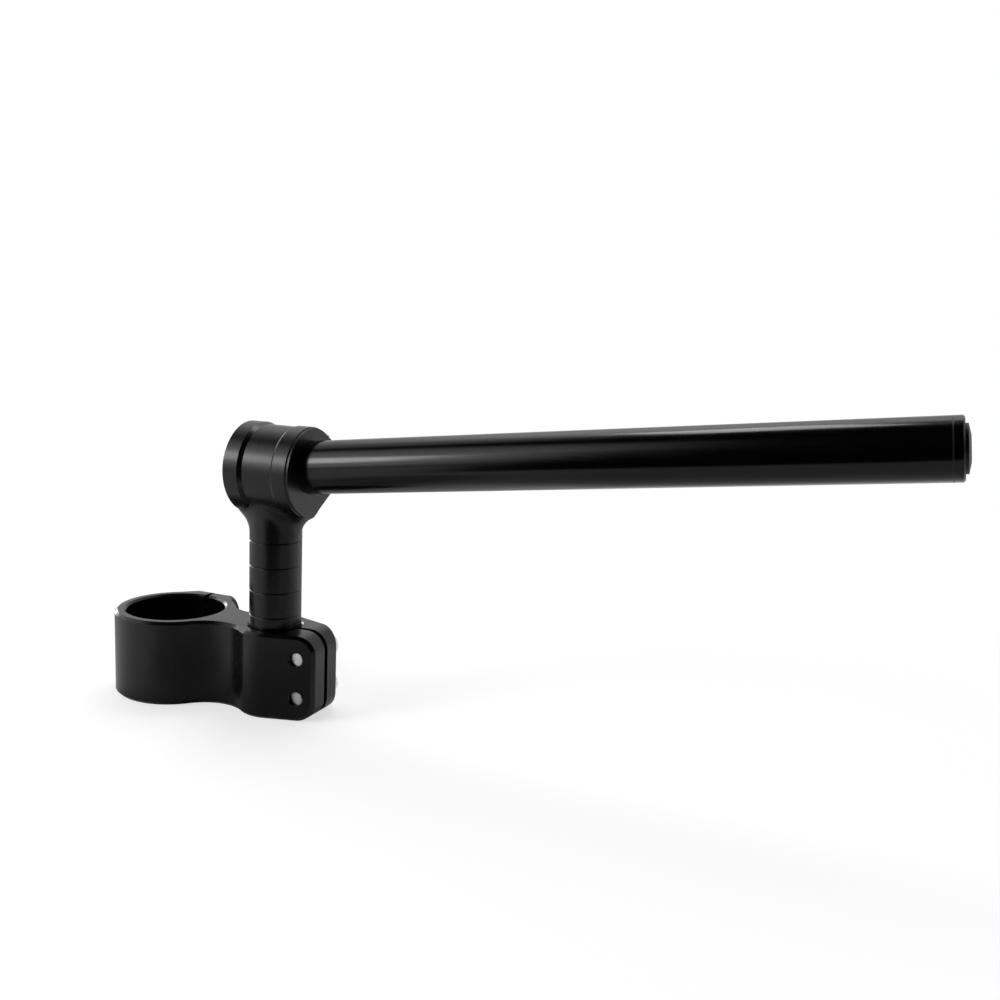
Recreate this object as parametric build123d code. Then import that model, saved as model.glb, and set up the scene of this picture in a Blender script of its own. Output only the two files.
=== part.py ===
from build123d import *
from math import cos, radians, sin, sqrt, tan
import os

# Clip-on handlebar for one fork leg of a motorbike: a fork clamp, a height-adjustable riser
# and a straight bar. Millimetres, with +Z up the fork tube. The origin is on the fork axis at
# the clamp's mid height, +X runs from the fork axis to the riser post, and the pinch ears of
# the fork ring and of the bar head point to +Y.

# Fork clamp
FORK_BORE_D = 43.0
RING_WALL = 4.85
CLAMP_HEIGHT = 37.3
POST_OFFSET = 53.2          # fork axis to post axis
BOSS_WALL = 5.1             # wall round the post
NECK_RADIUS = 17.9          # hollow between ring and boss
OUTLINE_CHAMFER = 1.3
FORK_BORE_CHAMFER = 0.9
POST_BORE_CHAMFER = 1.0
CLAMP_SLOT = 2.4

# Pinch ears of the fork ring
FORK_EAR_HALF = 9.6
FORK_EAR_FLANK = 47.6       # where the ears' flats leave the ring, degrees from +X
FORK_EAR_HOLLOW = 4.0
FORK_EAR_ROUND = 10.0
FORK_EAR_EDGE = 5.9         # bolt axis to the end of the ears
FORK_BOLT_WALL = 4.7        # bore to bolt hole
FORK_BOLT_RECESS = 1.4      # bolt end below the ear's face

# Pinch ears of the post
POST_EAR_TAPER = 16.0       # slant of each side, degrees
POST_EAR_ROUND = 8.2
POST_EAR_EDGE = 7.6         # bolt axis to the end of the ears
POST_BOLT_WALL = 3.8        # bore to bolt hole
POST_BOLT_SPOT = 1.0        # depth of the seat below the slanted side
POST_BOLT_RECESS = 0.95     # bolt end below the slanted side

CLAMP_BOLT_PITCH = 17.2     # upper bolt to lower bolt, both pairs

# Riser: post and bar head in one piece
POST_D = 22.2
POST_INSERT = 36.0          # length of the post inside the clamp
POST_END_CHAMFER = 1.0
HEAD_RISE = 68.0            # clamp's upper face to the head's axis
HEAD_WALL = 7.4             # wall round the bar
HEAD_INNER_LEDGE = 2.5      # inner face beyond the side of the post
HEAD_OUTER_LEDGE = 6.6      # outer face beyond the side of the post
HEAD_FILLET = 11.5          # hollow between post and head

# Raised bands at the two faces of the head
INNER_BAND = 7.2
INNER_BAND_RISE = 0.9
INNER_BAND_RAMP = 2.0
INNER_BAND_EDGE = 0.5
OUTER_BAND = 7.4
OUTER_BAND_RISE = 0.5
OUTER_BAND_RAMP = 0.95
OUTER_BAND_EDGE = 1.3

# Height marks on the post
MARK_COUNT = 4
MARK_FIRST = 5.2            # above the clamp
MARK_PITCH = 10.75
MARK_WIDTH = 0.6
MARK_DEPTH = 0.25

# Pinch ears of the bar head
HEAD_SLOT = 2.0
HEAD_FLANK = 34.0           # slope of the upper flank, degrees
HEAD_UNDERSIDE = 31.5       # slope of the underside, degrees
HEAD_EAR_BOTTOM = 6.5       # end of the ears below the head's axis
HEAD_EAR_LIP = 0.7          # bolt head to the end of the ears
HEAD_TIP_ROUND = 10.0
BAR_BOLT_WALL = 1.9         # bar to bolt hole
BAR_BOLT_PITCH = 15.3
BAR_BOLT_SEAT = 8.1         # above the head's axis
BAR_BOLT_PROUD = 1.3        # bolt end below the underside
SPOT_CLEARANCE = 0.6        # round the bolt heads

# Bar
BAR_D = 22.2
BAR_WALL = 2.6
BAR_LENGTH = 285.0
BAR_INNER = 17.3            # post axis to the bar's inner end
BAR_RISE_ANGLE = 6.93
BAR_MARK_INSET = 3.8        # turned line near the outer end
BAR_MARK_WIDTH = 0.3
BAR_MARK_DEPTH = 0.08
BAR_EDGE = 0.6

# Bar end plugs
PLUG_PROUD = 1.0
INNER_PLUG_DOME = 0.2
OUTER_PLUG_DOME = 0.8
PLUG_TAPER = 3.9            # width of the sloped rim round the plug's flat middle
PLUG_LENGTH = 14.0
PLUG_RIB_COUNT = 3
PLUG_RIB_WIDTH = 2.0
PLUG_RIB_HEIGHT = 0.6

# Socket-head bolts
BOLT_D = 6.0
BOLT_HEAD_D = 10.0
BOLT_HEAD_HEIGHT = 6.0
BOLT_SOCKET = 5.0           # across flats
BOLT_SOCKET_DEPTH = 3.2
BOLT_EDGE = 0.5

# Fits, all radial
POST_FIT = 0.1
BAR_FIT = 0.1
PLUG_FIT = 0.1
BOLT_CLEARANCE = 0.2
THREAD_FIT = 0.05

# Sizes that follow
fork_r = FORK_BORE_D / 2
ring_r = fork_r + RING_WALL
post_r = POST_D / 2
post_bore_r = post_r + POST_FIT
boss_r = post_bore_r + BOSS_WALL
bar_r = BAR_D / 2
bar_bore_r = bar_r + BAR_FIT
bolt_r = BOLT_D / 2
bolt_hole_r = bolt_r + BOLT_CLEARANCE
thread_hole_r = bolt_r + THREAD_FIT
bolt_head_r = BOLT_HEAD_D / 2
spot_r = bolt_head_r + SPOT_CLEARANCE

fork_bolt_y = fork_r + FORK_BOLT_WALL + bolt_hole_r
fork_ear_end = fork_bolt_y + FORK_EAR_EDGE
post_bolt_x = POST_OFFSET + post_bore_r + POST_BOLT_WALL + bolt_hole_r
post_ear_end = post_bolt_x + POST_EAR_EDGE
clamp_bolt_heights = (-CLAMP_BOLT_PITCH / 2, CLAMP_BOLT_PITCH / 2)

clamp_top = CLAMP_HEIGHT / 2
head_z = clamp_top + HEAD_RISE
head_r = bar_r + HEAD_WALL
head_inner = POST_OFFSET - post_r - HEAD_INNER_LEDGE
head_outer = POST_OFFSET + post_r + HEAD_OUTER_LEDGE
bar_bolt_y = bar_bore_r + BAR_BOLT_WALL + bolt_hole_r
head_ear_end = bar_bolt_y + bolt_head_r + HEAD_EAR_LIP
head_middle = (head_inner + head_outer) / 2
bar_bolt_places = (head_middle - BAR_BOLT_PITCH / 2, head_middle + BAR_BOLT_PITCH / 2)

# The bar's own frame: origin where it crosses the post axis, +X out along the bar
bar_frame = Location((POST_OFFSET, 0, head_z), (0, -BAR_RISE_ANGLE, 0))
# The head's profile frame: local x is +Y, local y is +Z, seen from the outer face
head_frame = Plane((0, 0, head_z), x_dir=(0, 1, 0), z_dir=(1, 0, 0))


def post_ear_side(x):
    """Half width of the post's pinch ears at x."""
    taper = radians(POST_EAR_TAPER)
    touch = POST_OFFSET + boss_r * sin(taper)
    return boss_r * cos(taper) - (x - touch) * tan(taper)


post_bolt_seat = post_ear_side(post_bolt_x + spot_r) - POST_BOLT_SPOT
post_bolt_end = post_ear_side(post_bolt_x) - POST_BOLT_RECESS


def underside_depth(y):
    """Depth of the head's slanted underside below the head's axis."""
    return HEAD_EAR_BOTTOM + (head_ear_end - y) * tan(radians(HEAD_UNDERSIDE))


def rod(radius, start, end):
    """A solid cylinder between two points."""
    start, end = Vector(start), Vector(end)
    axis = Plane(start, z_dir=end - start)
    return axis * Cylinder(radius, (end - start).length, align=(Align.CENTER, Align.CENTER, Align.MIN))


def neck_outline():
    """The waisted bridge between ring and boss, with one hollow arc on each side."""
    to_ring = ring_r + NECK_RADIUS
    to_boss = boss_r + NECK_RADIUS
    cx = (POST_OFFSET**2 + to_ring**2 - to_boss**2) / (2 * POST_OFFSET)
    cy = sqrt(to_ring**2 - cx**2)
    on_ring = (cx * ring_r / to_ring, cy * ring_r / to_ring)
    on_boss = (POST_OFFSET + (cx - POST_OFFSET) * boss_r / to_boss, cy * boss_r / to_boss)
    upper = ThreePointArc(on_ring, (cx, cy - NECK_RADIUS), on_boss)
    lower = mirror(upper, Plane.XZ)
    sides = [Line(lower @ 0, upper @ 0), upper, Line(upper @ 1, lower @ 1), lower]
    return make_face(sides)


def fork_ear_outline():
    """The ring's pinch ears, whose flats leave the ring on a tangent."""
    flank = radians(FORK_EAR_FLANK)
    touch_x, touch_y = ring_r * cos(flank), ring_r * sin(flank)
    knee_y = touch_y + (touch_x - FORK_EAR_HALF) / tan(flank)
    side = [(touch_x, touch_y), (FORK_EAR_HALF, knee_y), (FORK_EAR_HALF, fork_ear_end)]
    right = make_face(Polyline((0, 0), *side, (0, fork_ear_end), close=True))
    ears = right + mirror(right, Plane.YZ)
    knees = [v for v in ears.vertices() if abs(v.Y - knee_y) < 1e-4]
    return fillet(knees, FORK_EAR_HOLLOW)


def post_ear_outline():
    """The post's tapered pinch ears, tangent to the boss."""
    touch = POST_OFFSET + boss_r * sin(radians(POST_EAR_TAPER))
    corners = [(touch, post_ear_side(touch)), (post_ear_end, post_ear_side(post_ear_end))]
    mirrored = [(x, -y) for x, y in reversed(corners)]
    return make_face(Polyline(*corners, *mirrored, close=True))


def outline_edges(clamp):
    """The edges round the clamp's upright sides, leaving out its two rounded ends."""
    ends = [clamp.faces().sort_by(Axis.X)[-1], clamp.faces().sort_by(Axis.Y)[-1]]
    sides = []
    for face in clamp.faces():
        upright = all(abs(face.normal_at(u, 0.5).Z) < 1e-6 for u in (0.1, 0.9))
        level = all(abs(face.normal_at(0.5, u).Z) < 1e-6 for u in (0.1, 0.9))
        if upright and level and not any(face.is_same(end) for end in ends):
            sides.append(face)
    edges = [edge for face in sides for edge in face.edges()]
    return [e for e in edges if sum(e.is_same(other) for other in edges) == 1]


def make_fork_clamp():
    ring = Circle(ring_r)
    boss = Pos(POST_OFFSET, 0) * Circle(boss_r)
    outline = ring + boss + neck_outline() + fork_ear_outline() + post_ear_outline()
    clamp = extrude(outline, clamp_top, both=True)

    rear = clamp.edges().filter_by(Axis.Y).group_by(Axis.X)[-1]
    clamp = fillet(rear, POST_EAR_ROUND)
    side = clamp.edges().filter_by(Axis.X).group_by(Axis.Y)[-1]
    clamp = fillet(side, FORK_EAR_ROUND)
    clamp = chamfer(outline_edges(clamp), OUTLINE_CHAMFER)

    for x, radius, edge in ((0, fork_r, FORK_BORE_CHAMFER), (POST_OFFSET, post_bore_r, POST_BORE_CHAMFER)):
        clamp -= rod(radius, (x, 0, -clamp_top), (x, 0, clamp_top))
        rims = [e for e in clamp.edges().filter_by(GeomType.CIRCLE) if abs(e.radius - radius) < 1e-6]
        clamp = chamfer(rims, edge)

    slot_align = (Align.CENTER, Align.MIN, Align.CENTER)
    clamp -= Box(CLAMP_SLOT, fork_ear_end, CLAMP_HEIGHT, align=slot_align)
    rear_align = (Align.MIN, Align.CENTER, Align.CENTER)
    clamp -= Pos(POST_OFFSET, 0) * Box(post_ear_end - POST_OFFSET, CLAMP_SLOT, CLAMP_HEIGHT, align=rear_align)

    for z in clamp_bolt_heights:
        clamp -= rod(bolt_hole_r, (-FORK_EAR_HALF, fork_bolt_y, z), (0, fork_bolt_y, z))
        clamp -= rod(thread_hole_r, (0, fork_bolt_y, z), (FORK_EAR_HALF, fork_bolt_y, z))
        clamp -= rod(spot_r, (-FORK_EAR_HALF, fork_bolt_y, z), (-ring_r, fork_bolt_y, z))
        clamp -= rod(bolt_hole_r, (post_bolt_x, post_bolt_seat, z), (post_bolt_x, 0, z))
        clamp -= rod(thread_hole_r, (post_bolt_x, 0, z), (post_bolt_x, -boss_r, z))
        clamp -= rod(spot_r, (post_bolt_x, post_bolt_seat, z), (post_bolt_x, boss_r, z))
    return clamp


def head_section(x, radius):
    """The bar head's section at x: a barrel, a sloped flank, the ears' end and a slanted underside."""
    flank = radians(HEAD_FLANK)
    slant = radians(HEAD_UNDERSIDE)
    to_underside = underside_depth(0) * cos(slant)
    ears = [
        (0, 0),
        (radius * sin(flank), radius * cos(flank)),
        (head_ear_end, radius / cos(flank) - head_ear_end * tan(flank)),
        (head_ear_end, -HEAD_EAR_BOTTOM),
        (to_underside * sin(slant), -to_underside * cos(slant)),
    ]
    profile = Circle(radius) + make_face(Polyline(*ears, close=True))
    far = 2 * radius
    below = [
        (head_ear_end, -HEAD_EAR_BOTTOM),
        (head_ear_end, -2 * far),
        (-far, -2 * far),
        (-far, -underside_depth(-far)),
    ]
    profile -= make_face(Polyline(*below, close=True))
    profile = fillet(profile.vertices().sort_by(Axis.Y)[0], HEAD_TIP_ROUND)
    return head_frame * Pos(0, 0, x) * profile


def post_and_barrel():
    """The post and the head's plain barrel, joined by a rolled fillet."""
    width = head_outer - head_inner
    long_barrel = extrude(head_section(POST_OFFSET, head_r), 2 * width, both=True)
    post = rod(post_r, (POST_OFFSET, 0, clamp_top - POST_INSERT), (POST_OFFSET, 0, head_z))
    body = long_barrel + post
    body = fillet(new_edges(long_barrel, post, combined=body), HEAD_FILLET)
    slab_align = (Align.MIN, Align.CENTER, Align.CENTER)
    return body & Pos(head_inner, 0, head_z) * Box(width, 4 * head_r, 4 * head_z, align=slab_align)


def head_band(face, step, ramp_end, rise, edge):
    """A raised band from a face of the head to a step, with a ramp down to the barrel."""
    band = extrude(head_section(face, head_r + rise), step - face)
    rims = band.faces().filter_by(Axis.X).sort_by(lambda f: abs(f.center().X - face))[0].edges()
    band = chamfer([e for e in rims if (e @ 0.5).Y < head_ear_end - 1e-6], edge)
    return band + loft([head_section(step, head_r + rise), head_section(ramp_end, head_r)], ruled=True)


def make_riser():
    inner_step = head_inner + INNER_BAND
    outer_step = head_outer - OUTER_BAND
    riser = post_and_barrel()
    riser += head_band(head_inner, inner_step, inner_step + INNER_BAND_RAMP, INNER_BAND_RISE, INNER_BAND_EDGE)
    riser += head_band(head_outer, outer_step, outer_step - OUTER_BAND_RAMP, OUTER_BAND_RISE, OUTER_BAND_EDGE)

    post_end = riser.faces().sort_by(Axis.Z)[0]
    riser = chamfer(post_end.edges(), POST_END_CHAMFER)
    for index in range(MARK_COUNT):
        z = clamp_top + MARK_FIRST + index * MARK_PITCH
        notch = [(post_r - MARK_DEPTH, 0), (post_r, MARK_WIDTH / 2), (post_r, -MARK_WIDTH / 2)]
        riser -= Pos(POST_OFFSET, 0, z) * revolve(Plane.XZ * make_face(Polyline(*notch, close=True)), Axis.Z)

    width = head_outer - head_inner
    riser -= bar_frame * rod(bar_bore_r, (-2 * width, 0, 0), (2 * width, 0, 0))
    slot_align = (Align.MIN, Align.MIN, Align.CENTER)
    riser -= Pos(head_inner, 0, head_z) * Box(width, head_ear_end, HEAD_SLOT, align=slot_align)
    for x in bar_bolt_places:
        seat = head_z + BAR_BOLT_SEAT
        riser -= rod(spot_r, (x, bar_bolt_y, seat), (x, bar_bolt_y, head_z + 2 * head_r))
        riser -= rod(bolt_hole_r, (x, bar_bolt_y, seat), (x, bar_bolt_y, head_z))
        riser -= rod(thread_hole_r, (x, bar_bolt_y, head_z), (x, bar_bolt_y, head_z - head_r))
    return riser


def make_handlebar_tube():
    inner, outer = -BAR_INNER, BAR_LENGTH - BAR_INNER
    tube = rod(bar_r, (inner, 0, 0), (outer, 0, 0))
    tube = chamfer(tube.edges().filter_by(GeomType.CIRCLE), BAR_EDGE)
    tube -= rod(bar_r - BAR_WALL, (inner, 0, 0), (outer, 0, 0))
    line = outer - BAR_MARK_INSET
    groove = rod(bar_r, (line, 0, 0), (line + BAR_MARK_WIDTH, 0, 0))
    groove -= rod(bar_r - BAR_MARK_DEPTH, (line, 0, 0), (line + BAR_MARK_WIDTH, 0, 0))
    return bar_frame * (tube - groove)


def make_end_plug(dome):
    """A ribbed plug, drawn with its face towards +Z and the end of the tube at zero."""
    rib_r = bar_r - BAR_WALL - PLUG_FIT
    core_r = rib_r - PLUG_RIB_HEIGHT
    pitch = (PLUG_LENGTH - PLUG_RIB_WIDTH) / PLUG_RIB_COUNT
    side = [(rib_r, PLUG_PROUD)]
    for index in range(PLUG_RIB_COUNT):
        z = -index * pitch
        side += [(rib_r, z - PLUG_RIB_WIDTH), (core_r, z - PLUG_RIB_WIDTH), (core_r, z - pitch)]
        if index < PLUG_RIB_COUNT - 1:
            side += [(rib_r, z - pitch)]
    crown = [(0, PLUG_PROUD + dome), (rib_r - PLUG_TAPER, PLUG_PROUD + dome)]
    outline = Polyline(*crown, *side, (core_r, -PLUG_LENGTH), (0, -PLUG_LENGTH), close=True)
    return revolve(Plane.XZ * make_face(outline), Axis.Z)


def make_bolt(length):
    """A socket-head bolt drawn with its seat at zero, its shank towards -Z."""
    head = rod(bolt_head_r, (0, 0, 0), (0, 0, BOLT_HEAD_HEIGHT))
    head = chamfer(head.edges().group_by(Axis.Z)[-1], BOLT_EDGE)
    shank = rod(bolt_r, (0, 0, 0), (0, 0, -length))
    shank = chamfer(shank.edges().group_by(Axis.Z)[0], BOLT_EDGE)
    socket = Pos(0, 0, BOLT_HEAD_HEIGHT - BOLT_SOCKET_DEPTH) * extrude(
        RegularPolygon(BOLT_SOCKET / 2, 6, major_radius=False), BOLT_SOCKET_DEPTH
    )
    return head + shank - socket


def place_bolts(length, seats, towards):
    """One bolt at each seat, its shank pointing the given way."""
    return Compound([Plane(seat, z_dir=-Vector(towards)) * make_bolt(length) for seat in seats])


fork_bolt_seats = [(-FORK_EAR_HALF, fork_bolt_y, z) for z in clamp_bolt_heights]
fork_bolt_length = 2 * FORK_EAR_HALF - FORK_BOLT_RECESS
post_bolt_seats = [(post_bolt_x, post_bolt_seat, z) for z in clamp_bolt_heights]
post_bolt_length = post_bolt_seat + post_bolt_end
bar_bolt_seats = [(x, bar_bolt_y, head_z + BAR_BOLT_SEAT) for x in bar_bolt_places]
bar_bolt_length = BAR_BOLT_SEAT + underside_depth(bar_bolt_y) + BAR_BOLT_PROUD

inner_end = bar_frame * Plane((-BAR_INNER, 0, 0), z_dir=(-1, 0, 0)).location
outer_end = bar_frame * Plane((BAR_LENGTH - BAR_INNER, 0, 0), z_dir=(1, 0, 0)).location

nodes = {
    "fork_clamp": make_fork_clamp(),
    "riser": make_riser(),
    "handlebar_tube": make_handlebar_tube(),
    "inner_end_plug": inner_end * make_end_plug(INNER_PLUG_DOME),
    "outer_end_plug": outer_end * make_end_plug(OUTER_PLUG_DOME),
    "fork_pinch_bolts": place_bolts(fork_bolt_length, fork_bolt_seats, (1, 0, 0)),
    "post_pinch_bolts": place_bolts(post_bolt_length, post_bolt_seats, (0, -1, 0)),
    "bar_pinch_bolts": place_bolts(bar_bolt_length, bar_bolt_seats, (0, 0, -1)),
}

os.makedirs("parts", exist_ok=True)
for name, shape in nodes.items():
    export_step(shape, f"parts/{name}.step")
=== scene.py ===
from math import cos, pi, radians, sin

import bpy
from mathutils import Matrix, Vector


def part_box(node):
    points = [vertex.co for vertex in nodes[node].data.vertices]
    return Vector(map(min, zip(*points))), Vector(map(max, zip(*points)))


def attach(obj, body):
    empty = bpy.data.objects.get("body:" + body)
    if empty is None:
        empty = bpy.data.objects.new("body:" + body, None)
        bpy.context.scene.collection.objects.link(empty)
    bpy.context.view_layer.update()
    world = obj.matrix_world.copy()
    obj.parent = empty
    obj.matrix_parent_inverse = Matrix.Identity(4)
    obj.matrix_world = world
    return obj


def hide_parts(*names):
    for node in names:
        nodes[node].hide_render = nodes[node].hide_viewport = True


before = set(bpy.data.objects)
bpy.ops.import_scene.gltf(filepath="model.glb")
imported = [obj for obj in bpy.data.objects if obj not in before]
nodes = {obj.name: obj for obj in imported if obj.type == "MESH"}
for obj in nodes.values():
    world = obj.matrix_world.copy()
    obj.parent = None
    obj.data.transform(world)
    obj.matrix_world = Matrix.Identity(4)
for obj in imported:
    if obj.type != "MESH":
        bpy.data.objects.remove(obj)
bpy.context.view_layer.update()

MM = 0.001
X, Y, Z = 0, 1, 2
floor_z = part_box("fork_clamp")[0].z

# Camera, fitted to the photograph's edges
CAMERA_PLACE = Vector((313.45, -381.69, 156.51)) * MM
CAMERA_TURN = (80.07, -2.50, 22.86)
CAMERA_LENS = 38.94
CAMERA_SENSOR = 36.0
CAMERA_CLIP = (0.01, 50.0)

# Socket-head bolts
BOLT_D = 6.0 * MM
BOLT_HEAD_D = 10.0 * MM
BOLT_HEAD_HEIGHT = 6.0 * MM
BOLT_SOCKET = 5.0 * MM          # across flats
BOLT_SOCKET_DEPTH = 3.2 * MM
BOLT_EDGE = 0.5 * MM
BOLT_LEAD = 0.08 * MM           # chamfer at the end of the thread
BOLT_SIDES = 48
THREAD_PITCH = 1.0 * MM
THREAD_DEPTH = 0.36 * MM
THREAD_STEPS = 32               # points in one turn
KNURL_COUNT = 40
KNURL_DEPTH = 0.14 * MM
BOLT_SHARP = radians(25)        # edges steeper than this stay crisp
TOUCH = 0.001 * MM              # points closer than this are one
SLACK = 0.01 * MM

# Each pair of bolts: the axis it points along, the axis it is spread along, and the turn of its heads
BOLT_PAIRS = {
    "fork_bolts": {
        "node": "fork_pinch_bolts", "along": X, "spread": Z, "head_high": False, "turn": (0, -pi / 2, 0),
    },
    "post_bolts": {
        "node": "post_pinch_bolts", "along": Y, "spread": Z, "head_high": True, "turn": (-pi / 2, 0, 0),
    },
    "bar_bolts": {
        "node": "bar_pinch_bolts", "along": Z, "spread": X, "head_high": True, "turn": (0, 0, 0),
    },
}

# Black anodising: tool marks per metre along each axis, their depth, and the gloss of each piece
ANODISED = {
    "fork_clamp": {
        "name": "clamp_anodised",
        "tool_marks": (900, 900, 40),
        "mark_depth": 0.0008 * MM,
        "roughness": 0.26,
    },
    "riser": {
        "name": "riser_anodised",
        "tool_marks": (1400, 40, 1400),
        "mark_depth": 0.0005 * MM,
        "roughness": 0.29,
    },
    "handlebar_tube": {
        "name": "tube_anodised",
        "tool_marks": (30, 1500, 1500),
        "mark_depth": 0.0010 * MM,
        "roughness": 0.17,
    },
}
ANODISED_BLACK = 0.0008
ANODISED_WORN = 0.0120
ANODISED_IOR = 1.38
MARK_GLOSS = 0.02               # change of roughness over the tool marks
CLOUD_GLOSS = 0.012             # change of roughness over wide, faint clouds
BLAST_SHARE = 0.15              # height of the blasted grain beside the tool marks
EDGE_WEAR = 0.45
EDGE_RADIUS = 0.12 * MM
EDGE_LEAN = (0.99, 0.80)        # cosine of the lean where an edge starts and where it is full

# Turned line near the bar's outer end, worn paler and duller
BAR_RISE = radians(6.93)
BAR_AXIS = Vector((cos(BAR_RISE), 0.0, sin(BAR_RISE)))
BAR_LINE_INSET = 3.65 * MM
BAR_LINE_FADE = (0.40 * MM, 0.15 * MM)
BAR_LINE_DULL = 0.20

# Bolt steel and plug plastic
STEEL_TONES = (0.88, 0.78)
STEEL_ROUGHNESS = (0.24, 0.34)
STEEL_SCRATCHES = (900, 2600, 900)
STEEL_SCRATCH_DEPTH = 0.002 * MM
PLASTIC_TONES = (0.016, 0.024)
PLASTIC_ROUGHNESS = (0.42, 0.58)
PLASTIC_IOR = 1.46
PLASTIC_PEBBLE_DEPTH = 0.05 * MM
PLASTIC_EDGE = 0.3 * MM

# Noise: the same scale along every axis, and the part of its range where most of it lies
EVEN = (1, 1, 1)
NOISE_ROUGHNESS = 0.6
NOISE_RANGE = (0.3, 0.7)
CLOUD_RANGE = (0.35, 0.65)
STAIN_RANGE = (0.35, 0.7)

# Softboxes: bearing and height from the part in degrees, size in metres, and how bright each looks
LIGHT_MIDDLE = Vector((90.0, 0.0, 80.0)) * MM
SOFTBOXES = {
    "front_softbox": {"bearing": -132.5, "height": 24.0, "size": (0.34, 0.27), "level": 8.8},
    "back_softbox": {"bearing": 110.0, "height": 70.0, "size": (0.29, 0.32), "level": 6.2},
    "side_softbox": {"bearing": 172.0, "height": 27.0, "size": (0.20, 0.20), "level": 6.0},
}

# Soft glows of the room: bearing and height, radius of the rim and of the bright middle, all in degrees
GLOWS = {
    "round the front softbox": {"bearing": -141.0, "height": 34.0, "rim": 27.0, "middle": 2.0, "level": 1.75},
    "under the front softbox": {"bearing": -121.0, "height": 12.0, "rim": 15.0, "middle": 3.0, "level": 2.2},
    "round the back softbox": {"bearing": 118.0, "height": 52.0, "rim": 25.0, "middle": 6.0, "level": 1.0},
    "low on the left wall": {"bearing": 150.0, "height": 6.0, "rim": 17.0, "middle": 5.0, "level": 6.0},
}

# White walls, as shares of a direction: where each wall starts and where it is full
BACK_WALL = (-0.20, 0.30)
BACK_WALL_TOP = (0.95, 0.84)
LEFT_WALL = (-0.35, -0.46)
LEFT_WALL_TOP = (0.72, 0.55)
GLOW_WALL = (-0.36, -0.56)
WALL_LEVEL = 0.7
WALL_LEVEL_MIRRORED = 0.8

# Floor as the camera sees it: paper that fades to plain white away from the part, in metres
FLOOR_HALF = 3.0
PAPER_TONE = 0.50
PAPER_GLOW = 0.63
PAPER_MIDDLE = (0.1, 0.0)
PAPER_FADE = (0.16, 0.40)

# Floor as the part mirrors it, with light and shade painted into its colour: a white sheet with a front edge,
# in metres, and painted light and shade from front to back
SHEET_FRONT = (-0.205, -0.180)
SHEET_TURN = 0.31               # past this the front edge runs forward
SHEET_SLANT = 0.41              # left of a slanted line the sheet runs on to the front
SHEET_SLANT_FADE = (0.16, 0.09)
# Painted light and shade on the mirrored floor: its levels from front to back at the left and at the right,
# above 1 where a pool of light is painted
LEFT_SPAN, LEFT_PAINTED_LIGHT = (-0.06, 0.06), (1.0, 0.58)
RIGHT_SPAN, RIGHT_PAINTED_LIGHT = (0.0, 0.16), (0.70, 1.35)
LEFT_TO_RIGHT = (0.06, 0.18)
# A painted shadow in front of the clamp and a painted pool of light beside the post's ears, on the mirrored
# floor
PAINTED_SHADE_AND_LIGHT_PATCHES = {
    "in front of the clamp": {"middle": (0.055, -0.080), "fade": (0.030, 0.080), "painted_light": 0.42},
    "beside the post's ears": {"middle": (0.112, 0.042), "fade": (0.025, 0.075), "painted_light": 1.75},
}


class Tree:
    """A short way to add and link nodes."""

    def __init__(self, tree):
        self.tree = tree
        tree.nodes.clear()

    def add(self, kind, inputs=None, **settings):
        node = self.tree.nodes.new(kind)
        for key, value in settings.items():
            setattr(node, key, value)
        for key, value in (inputs or {}).items():
            self.feed(node.inputs[key], value)
        return node

    def feed(self, socket, value):
        if isinstance(value, bpy.types.NodeSocket):
            self.tree.links.new(value, socket)
        else:
            socket.default_value = value

    def maths(self, operation, first, second=0.0):
        """One step of arithmetic."""
        return self.add("ShaderNodeMath", {0: first, 1: second}, operation=operation).outputs["Value"]

    def vectors(self, operation, first, second):
        """One step of arithmetic on two vectors."""
        return self.add("ShaderNodeVectorMath", {0: first, 1: second}, operation=operation).outputs

    def ramp(self, value, start, end, low=0.0, high=1.0):
        """A smooth change from low to high as the value goes from start to end."""
        inputs = {"Value": value, "From Min": start, "From Max": end, "To Min": low, "To Max": high}
        return self.add("ShaderNodeMapRange", inputs, interpolation_type="SMOOTHSTEP").outputs["Result"]


def grey(level):
    return (level, level, level, 1.0)


def link(obj):
    bpy.context.scene.collection.objects.link(obj)
    return obj


def add_camera():
    data = bpy.data.cameras.new("camera")
    data.lens = CAMERA_LENS
    data.sensor_width = CAMERA_SENSOR
    data.clip_start, data.clip_end = CAMERA_CLIP
    camera = link(bpy.data.objects.new("camera", data))
    camera.location = CAMERA_PLACE
    camera.rotation_euler = [radians(a) for a in CAMERA_TURN]
    bpy.context.scene.camera = camera


def new_material(name):
    """A material with an empty tree, and the place on the piece."""
    material = bpy.data.materials.new(name)
    material.use_nodes = True
    tree = Tree(material.node_tree)
    return material, tree, tree.add("ShaderNodeTexCoord").outputs["Object"]


def grain(tree, place, stretch, scale, detail=3.0):
    """Noise drawn out along one or two axes."""
    mapping = tree.add("ShaderNodeMapping", {"Vector": place, "Scale": stretch})
    inputs = {
        "Vector": mapping.outputs["Vector"],
        "Scale": scale,
        "Detail": detail,
        "Roughness": NOISE_ROUGHNESS,
    }
    return tree.add("ShaderNodeTexNoise", inputs).outputs["Fac"]


def rounded(tree, radius):
    """The normal as if edges were rounded."""
    return tree.add("ShaderNodeBevel", {"Radius": radius}, samples=6).outputs["Normal"]


def edge_mask(tree, radius):
    """One along edges, zero on open faces."""
    flat = tree.add("ShaderNodeNewGeometry").outputs["Normal"]
    lean = tree.vectors("DOT_PRODUCT", rounded(tree, radius), flat)["Value"]
    return tree.ramp(lean, *EDGE_LEAN)


def two_tone(tree, share, first, second):
    """From one grey to another."""
    mix = tree.add("ShaderNodeMix", {"Factor": share, 6: grey(first), 7: grey(second)}, data_type="RGBA")
    return mix.outputs[2]


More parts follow.
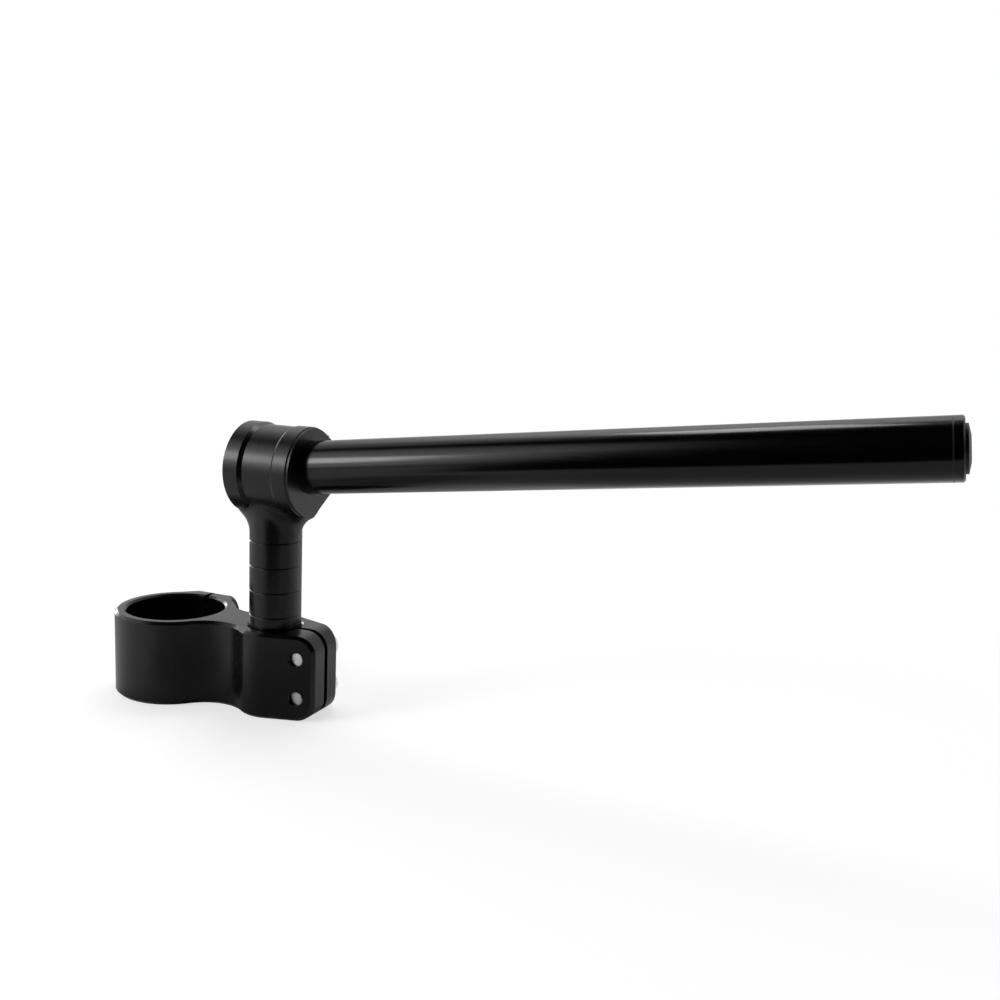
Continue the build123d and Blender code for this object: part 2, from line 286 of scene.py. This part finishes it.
def relief(tree, height, depth, normal=None):
    inputs = {"Height": height, "Distance": depth, "Strength": 1.0}
    if normal:
        inputs["Normal"] = normal
    return tree.add("ShaderNodeBump", inputs).outputs["Normal"]


def surface(tree, inputs):
    shader = tree.add("ShaderNodeBsdfPrincipled", inputs)
    tree.add("ShaderNodeOutputMaterial", {"Surface": shader.outputs["BSDF"]})


def anodised(name, tool_marks, mark_depth, roughness, line=None):
    """Satin black anodising over machined aluminium, with fine tool marks, paler edges and a worn line."""
    material, tree, place = new_material(name)
    marks = grain(tree, place, tool_marks, 1.0)
    blast = grain(tree, place, EVEN, 2600.0, 2.0)
    cloud = grain(tree, place, EVEN, 60.0, 4.0)
    worn = tree.maths("MULTIPLY", edge_mask(tree, EDGE_RADIUS), EDGE_WEAR)
    rough = tree.ramp(marks, *NOISE_RANGE, roughness - MARK_GLOSS, roughness + MARK_GLOSS)
    if line is not None:
        along = tree.vectors("DOT_PRODUCT", place, BAR_AXIS)["Value"]
        aside = tree.maths("ABSOLUTE", tree.maths("SUBTRACT", along, line))
        on_line = tree.ramp(aside, *BAR_LINE_FADE)
        worn = tree.maths("MAXIMUM", worn, on_line)
        rough = tree.maths("ADD", rough, tree.maths("MULTIPLY", on_line, BAR_LINE_DULL))
    rough = tree.maths("ADD", rough, tree.ramp(cloud, *CLOUD_RANGE, -CLOUD_GLOSS, CLOUD_GLOSS))
    height = tree.maths("ADD", marks, tree.ramp(blast, *NOISE_RANGE, 0.0, BLAST_SHARE))
    surface(tree, {
        "Base Color": two_tone(tree, worn, ANODISED_BLACK, ANODISED_WORN),
        "Roughness": rough,
        "Normal": relief(tree, height, mark_depth),
        "IOR": ANODISED_IOR,
    })
    return material


def bolt_steel(name):
    """Bright turned steel with fine scratches."""
    material, tree, place = new_material(name)
    scratches = grain(tree, place, STEEL_SCRATCHES, 1.0)
    stain = grain(tree, place, EVEN, 420.0, 4.0)
    surface(tree, {
        "Base Color": two_tone(tree, tree.ramp(stain, *STAIN_RANGE), *STEEL_TONES),
        "Metallic": 1.0,
        "Roughness": tree.ramp(scratches, *NOISE_RANGE, *STEEL_ROUGHNESS),
        "Normal": relief(tree, scratches, STEEL_SCRATCH_DEPTH, rounded(tree, EDGE_RADIUS)),
    })
    return material


def plug_plastic(name):
    """Matt moulded plastic with a fine pebbled skin."""
    material, tree, place = new_material(name)
    pebble = grain(tree, place, EVEN, 1500.0, 2.0)
    cloud = grain(tree, place, EVEN, 150.0, 4.0)
    surface(tree, {
        "Base Color": two_tone(tree, tree.ramp(cloud, *NOISE_RANGE), *PLASTIC_TONES),
        "Roughness": tree.ramp(pebble, *NOISE_RANGE, *PLASTIC_ROUGHNESS),
        "Normal": relief(tree, pebble, PLASTIC_PEBBLE_DEPTH, rounded(tree, PLASTIC_EDGE)),
        "IOR": PLASTIC_IOR,
    })
    return material


def paint(node, material):
    mesh = nodes[node].data
    mesh.materials.clear()
    mesh.materials.append(material)


BOLT_INPUTS = {
    "Length": "NodeSocketFloat",
    "Thread Radius": "NodeSocketFloat",
    "Thread Pitch": "NodeSocketFloat",
    "Thread Depth": "NodeSocketFloat",
    "Head Radius": "NodeSocketFloat",
    "Head Height": "NodeSocketFloat",
    "Socket Radius": "NodeSocketFloat",
    "Socket Depth": "NodeSocketFloat",
    "Edge": "NodeSocketFloat",
    "Lead": "NodeSocketFloat",
    "Knurl Count": "NodeSocketInt",
    "Knurl Depth": "NodeSocketFloat",
    "Turn": "NodeSocketVector",
    "Finish": "NodeSocketMaterial",
}


def bolt_tree():
    """A tree that stands a threaded, knurled socket-head bolt on every point it is given."""
    group = bpy.data.node_groups.new("socket_bolts", "GeometryNodeTree")
    tree = Tree(group)
    group.interface.new_socket("Seats", in_out="INPUT", socket_type="NodeSocketGeometry")
    for name, kind in BOLT_INPUTS.items():
        group.interface.new_socket(name, in_out="INPUT", socket_type=kind)
    group.interface.new_socket("Bolts", in_out="OUTPUT", socket_type="NodeSocketGeometry")
    size = tree.add("NodeGroupInput").outputs

    def move(mesh, z, flip=False):
        if flip:
            mesh = tree.add("GeometryNodeFlipFaces", {"Mesh": mesh}).outputs["Mesh"]
        shift = tree.add("ShaderNodeCombineXYZ", {"Z": z}).outputs["Vector"]
        return tree.add("GeometryNodeTransform", {"Geometry": mesh, "Translation": shift}).outputs["Geometry"]

    def wall(low_radius, high_radius, depth, z, flip=False):
        inputs = {
            "Vertices": BOLT_SIDES,
            "Radius Bottom": low_radius,
            "Radius Top": high_radius,
            "Depth": depth,
        }
        cone = tree.add("GeometryNodeMeshCone", inputs, fill_type="NONE")
        return move(cone.outputs["Mesh"], z, flip)

    def disc(radius, z, flip=False):
        inputs = {"Vertices": BOLT_SIDES, "Radius": radius}
        circle = tree.add("GeometryNodeMeshCircle", inputs, fill_type="NGON")
        return move(circle.outputs["Mesh"], z, flip)

    def join(parts):
        node = tree.add("GeometryNodeJoinGeometry")
        for part in parts:
            tree.feed(node.inputs["Geometry"], part)
        return node.outputs["Geometry"]

    def hexagonal(mesh):
        """Pushes a round wall out to a hexagon whose flats touch it."""
        place = tree.add("GeometryNodeInputPosition").outputs["Position"]
        x, y, z = tree.add("ShaderNodeSeparateXYZ", {"Vector": place}).outputs
        bearing = tree.maths("ARCTAN2", y, x)
        off_flat = tree.maths("SUBTRACT", tree.maths("FLOORED_MODULO", bearing, pi / 3), pi / 6)
        reach = tree.maths("DIVIDE", 1.0, tree.maths("COSINE", off_flat))
        squares = tree.maths("ADD", tree.maths("POWER", x, 2.0), tree.maths("POWER", y, 2.0))
        radius = tree.maths("POWER", squares, 0.5)
        limit = tree.maths("ADD", size["Socket Radius"], SLACK)
        inside = tree.add("FunctionNodeCompare", {"A": radius, "B": limit}, operation="LESS_THAN")
        wide = tree.add(
            "ShaderNodeCombineXYZ",
            {"X": tree.maths("MULTIPLY", x, reach), "Y": tree.maths("MULTIPLY", y, reach), "Z": z},
        )
        inputs = {
            "Geometry": mesh,
            "Selection": inside.outputs["Result"],
            "Position": wide.outputs["Vector"],
        }
        return tree.add("GeometryNodeSetPosition", inputs).outputs["Geometry"]

    # Shank with a chamfered end
    bottom = tree.maths("MULTIPLY", size["Length"], -1.0)
    core = tree.maths("SUBTRACT", size["Thread Radius"], size["Thread Depth"])
    tip = tree.maths("SUBTRACT", core, size["Lead"])
    above_tip = tree.maths("ADD", bottom, size["Lead"])
    shank_depth = tree.maths("SUBTRACT", size["Length"], size["Lead"])
    # Head with a chamfered top and a hexagonal socket
    side_radius = tree.maths("SUBTRACT", size["Head Radius"], size["Knurl Depth"])
    top_radius = tree.maths("SUBTRACT", side_radius, size["Edge"])
    shoulder = tree.maths("SUBTRACT", size["Head Height"], size["Edge"])
    socket_floor = tree.maths("SUBTRACT", size["Head Height"], size["Socket Depth"])
    socket = [
        wall(top_radius, size["Socket Radius"], 0.0, size["Head Height"]),
        wall(size["Socket Radius"], size["Socket Radius"], size["Socket Depth"], socket_floor, flip=True),
        disc(size["Socket Radius"], socket_floor),
    ]
    body = join([
        disc(tip, bottom, flip=True),
        wall(tip, core, size["Lead"], bottom),
        wall(core, core, shank_depth, above_tip),
        wall(core, side_radius, 0.0, 0.0),
        wall(side_radius, side_radius, shoulder, 0.0),
        wall(side_radius, top_radius, size["Edge"], shoulder),
        hexagonal(join(socket)),
    ])
    body = tree.add("GeometryNodeMergeByDistance", {"Geometry": body, "Distance": TOUCH}).outputs["Geometry"]

    # One helical ridge for the thread
    thread_height = tree.maths("SUBTRACT", shank_depth, size["Thread Pitch"])
    spiral = tree.add(
        "GeometryNodeCurveSpiral",
        {
            "Resolution": THREAD_STEPS,
            "Rotations": tree.maths("DIVIDE", thread_height, size["Thread Pitch"]),
            "Start Radius": core,
            "End Radius": core,
            "Height": thread_height,
        },
    )
    ridge = tree.add("GeometryNodeCurvePrimitiveCircle", {"Resolution": 3, "Radius": size["Thread Depth"]})
    thread = tree.add(
        "GeometryNodeCurveToMesh",
        {"Curve": spiral.outputs["Curve"], "Profile Curve": ridge.outputs["Curve"], "Fill Caps": True},
    )
    thread = move(thread.outputs["Mesh"], above_tip)

    # Straight knurling round the head
    knurl_points = tree.add(
        "GeometryNodeMeshCircle",
        {"Vertices": size["Knurl Count"], "Radius": side_radius},
    )
    rib_depth = tree.maths("SUBTRACT", shoulder, size["Edge"])
    rib = tree.add(
        "GeometryNodeMeshCylinder",
        {"Vertices": 4, "Radius": size["Knurl Depth"], "Depth": rib_depth},
    )
    rib_middle = tree.maths("MULTIPLY", tree.maths("ADD", shoulder, size["Edge"]), 0.5)
    ribs = tree.add(
        "GeometryNodeInstanceOnPoints",
        {"Points": knurl_points.outputs["Mesh"], "Instance": move(rib.outputs["Mesh"], rib_middle)},
    )

    bolt = join([body, thread, ribs.outputs["Instances"]])
    bolts = tree.add(
        "GeometryNodeInstanceOnPoints",
        {"Points": size["Seats"], "Instance": bolt, "Rotation": size["Turn"]},
    )
    solid = tree.add("GeometryNodeRealizeInstances", {"Geometry": bolts.outputs["Instances"]})
    done = tree.add(
        "GeometryNodeSetMaterial",
        {"Geometry": solid.outputs["Geometry"], "Material": size["Finish"]},
    )
    tree.add("NodeGroupOutput", {"Bolts": done.outputs["Geometry"]})
    return group


def bolt_seats(node, along, spread, head_high):
    """Seats and length of a pair of bolts, read from the box of its CAD node."""
    low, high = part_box(node)
    middle = (low + high) / 2
    reach = (high[spread] - low[spread] - BOLT_HEAD_D) / 2
    seats = []
    for side in (-1, 1):
        seat = middle.copy()
        seat[spread] += side * reach
        seat[along] = high[along] - BOLT_HEAD_HEIGHT if head_high else low[along] + BOLT_HEAD_HEIGHT
        seats.append(seat)
    return seats, high[along] - low[along] - BOLT_HEAD_HEIGHT


def add_bolts(name, node, along, spread, head_high, turn, group, material):
    """A pair of bolts in place of a CAD node, with their heads turned the given way."""
    seats, length = bolt_seats(node, along, spread, head_high)
    values = {
        "Length": length,
        "Thread Radius": BOLT_D / 2,
        "Thread Pitch": THREAD_PITCH,
        "Thread Depth": THREAD_DEPTH,
        "Head Radius": BOLT_HEAD_D / 2,
        "Head Height": BOLT_HEAD_HEIGHT,
        "Socket Radius": BOLT_SOCKET / 2,
        "Socket Depth": BOLT_SOCKET_DEPTH,
        "Edge": BOLT_EDGE,
        "Lead": BOLT_LEAD,
        "Knurl Count": KNURL_COUNT,
        "Knurl Depth": KNURL_DEPTH,
        "Turn": turn,
        "Finish": material,
    }
    points = bpy.data.meshes.new(name)
    points.from_pydata(seats, [], [])
    piece = link(bpy.data.objects.new(name, points))
    modifier = piece.modifiers.new("bolts", "NODES")
    modifier.node_group = group
    for item in group.interface.items_tree:
        if item.in_out == "INPUT" and item.name in values:
            modifier[item.identifier] = values[item.name]
    bpy.context.view_layer.update()
    graph = bpy.context.evaluated_depsgraph_get()
    mesh = bpy.data.meshes.new_from_object(piece.evaluated_get(graph))
    piece.modifiers.clear()
    piece.data = mesh
    mesh.shade_smooth()
    mesh.set_sharp_from_angle(angle=BOLT_SHARP)
    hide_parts(node)
    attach(piece, "root")


def seen_paper(tree, place):
    """White paper that keeps the part's shadow, for the camera."""
    from_middle = tree.vectors("DISTANCE", place, (*PAPER_MIDDLE, floor_z))["Value"]
    paper = tree.add("ShaderNodeBsdfDiffuse", {"Color": grey(PAPER_TONE)})
    glow = tree.add("ShaderNodeEmission", {"Color": grey(1.0), "Strength": PAPER_GLOW})
    white = tree.add("ShaderNodeEmission", {"Color": grey(1.0), "Strength": 1.0})
    near = tree.add("ShaderNodeAddShader", {0: paper.outputs["BSDF"], 1: glow.outputs["Emission"]})
    far = tree.ramp(from_middle, *PAPER_FADE)
    seen = tree.add("ShaderNodeMixShader", {0: far, 1: near.outputs["Shader"], 2: white.outputs["Emission"]})
    return seen.outputs["Shader"]


def sheet_with_painted_light(tree, place):
    """The sheet under the part, for reflections, with light and shade painted into its colour: white at the
    left, painted lighter and darker from left to right and front to back, and ending a hand's breadth in
    front.
    """
    x, y, _ = tree.add("ShaderNodeSeparateXYZ", {"Vector": place}).outputs
    # Painted dark past the front edge, seen only in reflections; the camera sees white floor there
    past_turn = tree.maths("MAXIMUM", tree.maths("SUBTRACT", x, SHEET_TURN), 0.0)
    front_edge = tree.ramp(tree.maths("ADD", y, past_turn), *SHEET_FRONT)
    slant = tree.maths("SUBTRACT", x, tree.maths("MULTIPLY", y, SHEET_SLANT))
    sheet = tree.maths("MAXIMUM", front_edge, tree.ramp(slant, *SHEET_SLANT_FADE))
    # Painted light and shade: the mirrored floor's level from left to right and from front to back
    left = tree.ramp(y, *LEFT_SPAN, *LEFT_PAINTED_LIGHT)
    right = tree.ramp(y, *RIGHT_SPAN, *RIGHT_PAINTED_LIGHT)
    sides = {0: tree.ramp(x, *LEFT_TO_RIGHT), 2: left, 3: right}
    painted_light = tree.add("ShaderNodeMix", sides, data_type="FLOAT").outputs[0]
    # Painted shadow and painted light: patches that darken or brighten the mirrored floor
    for patch in PAINTED_SHADE_AND_LIGHT_PATCHES.values():
        away = tree.vectors("DISTANCE", place, (*patch["middle"], floor_z))["Value"]
        painted_light = tree.maths("MULTIPLY", painted_light, tree.ramp(away, *patch["fade"], patch["painted_light"], 1.0))
    level = tree.maths("MULTIPLY", sheet, painted_light)
    colour = tree.add("ShaderNodeCombineXYZ", {"X": level, "Y": level, "Z": level}).outputs["Vector"]
    return tree.add("ShaderNodeBsdfDiffuse", {"Color": colour}).outputs["BSDF"]


def add_floor():
    half = FLOOR_HALF
    corners = [(-half, -half, floor_z), (half, -half, floor_z), (half, half, floor_z), (-half, half, floor_z)]
    mesh = bpy.data.meshes.new("floor")
    mesh.from_pydata(corners, [], [(0, 1, 2, 3)])
    floor = link(bpy.data.objects.new("floor", mesh))
    material, tree, place = new_material("white_floor")
    camera_ray = tree.add("ShaderNodeLightPath").outputs["Is Camera Ray"]
    both = tree.add(
        "ShaderNodeMixShader",
        {0: camera_ray, 1: sheet_with_painted_light(tree, place), 2: seen_paper(tree, place)},
    )
    tree.add("ShaderNodeOutputMaterial", {"Surface": both.outputs["Shader"]})
    mesh.materials.append(material)


def heading(bearing, height):
    """A direction from its bearing and its height, in degrees."""
    turn, lift = radians(bearing), radians(height)
    return Vector((cos(lift) * cos(turn), cos(lift) * sin(turn), sin(lift)))


def add_softbox(name, bearing, height, size, level):
    """A softbox one metre from the part, facing it."""
    data = bpy.data.lights.new(name, "AREA")
    data.shape = "RECTANGLE"
    data.size, data.size_y = size
    data.energy = level * pi * size[0] * size[1]
    lamp = link(bpy.data.objects.new(name, data))
    away = heading(bearing, height)
    lamp.location = LIGHT_MIDDLE + away
    lamp.rotation_euler = away.to_track_quat("Z", "Y").to_euler()


def add_room():
    """A white room behind and to the left of the part, open and dark in front and above."""
    world = bpy.data.worlds.new("studio")
    bpy.context.scene.world = world
    world.use_nodes = True
    tree = Tree(world.node_tree)
    path = tree.add("ShaderNodeLightPath").outputs
    way = tree.add("ShaderNodeTexCoord").outputs["Generated"]
    level_way = tree.vectors("MULTIPLY", way, (1, 1, 0))["Vector"]
    bearing = tree.add("ShaderNodeVectorMath", {0: level_way}, operation="NORMALIZE").outputs["Vector"]
    x, y, _ = tree.add("ShaderNodeSeparateXYZ", {"Vector": bearing}).outputs
    height = tree.add("ShaderNodeSeparateXYZ", {"Vector": way}).outputs["Z"]

    back = tree.maths("MULTIPLY", tree.ramp(y, *BACK_WALL), tree.ramp(height, *BACK_WALL_TOP))
    left = tree.maths("MULTIPLY", tree.ramp(x, *LEFT_WALL), tree.ramp(height, *LEFT_WALL_TOP))
    mirrored = tree.maths("ADD", path["Is Glossy Ray"], path["Is Transmission Ray"])
    wall_level = tree.ramp(mirrored, 0.0, 1.0, WALL_LEVEL, WALL_LEVEL_MIRRORED)
    walls = tree.maths("MULTIPLY", tree.maths("MAXIMUM", back, left), wall_level)

    glows = 0.0
    for glow in GLOWS.values():
        lean = tree.vectors("DOT_PRODUCT", way, heading(glow["bearing"], glow["height"]))["Value"]
        rim, middle = cos(radians(glow["rim"])), cos(radians(glow["middle"]))
        glows = tree.maths("ADD", tree.ramp(lean, rim, middle, 0.0, glow["level"]), glows)
    glows = tree.maths("MULTIPLY", glows, tree.maths("MAXIMUM", back, tree.ramp(x, *GLOW_WALL)))

    level = tree.maths("ADD", walls, glows)
    room = tree.add("ShaderNodeBackground", {"Color": grey(1.0), "Strength": level})
    white = tree.add("ShaderNodeBackground", {"Color": grey(1.0), "Strength": 1.0})
    both = tree.add(
        "ShaderNodeMixShader",
        {0: path["Is Camera Ray"], 1: room.outputs["Background"], 2: white.outputs["Background"]},
    )
    tree.add("ShaderNodeOutputWorld", {"Surface": both.outputs["Shader"]})


bar_end = max(vertex.co.dot(BAR_AXIS) for vertex in nodes["handlebar_tube"].data.vertices)
worn_lines = {"handlebar_tube": bar_end - BAR_LINE_INSET}
for node, finish in ANODISED.items():
    paint(node, anodised(**finish, line=worn_lines.get(node)))
plug_skin = plug_plastic("plug_skin")
paint("inner_end_plug", plug_skin)
paint("outer_end_plug", plug_skin)

steel = bolt_steel("bright_steel")
bolts = bolt_tree()
for name, pair in BOLT_PAIRS.items():
    add_bolts(name, **pair, group=bolts, material=steel)

add_camera()
add_floor()
add_room()
for name, box in SOFTBOXES.items():
    add_softbox(name, **box)

bpy.context.scene.view_settings.view_transform = "Standard"
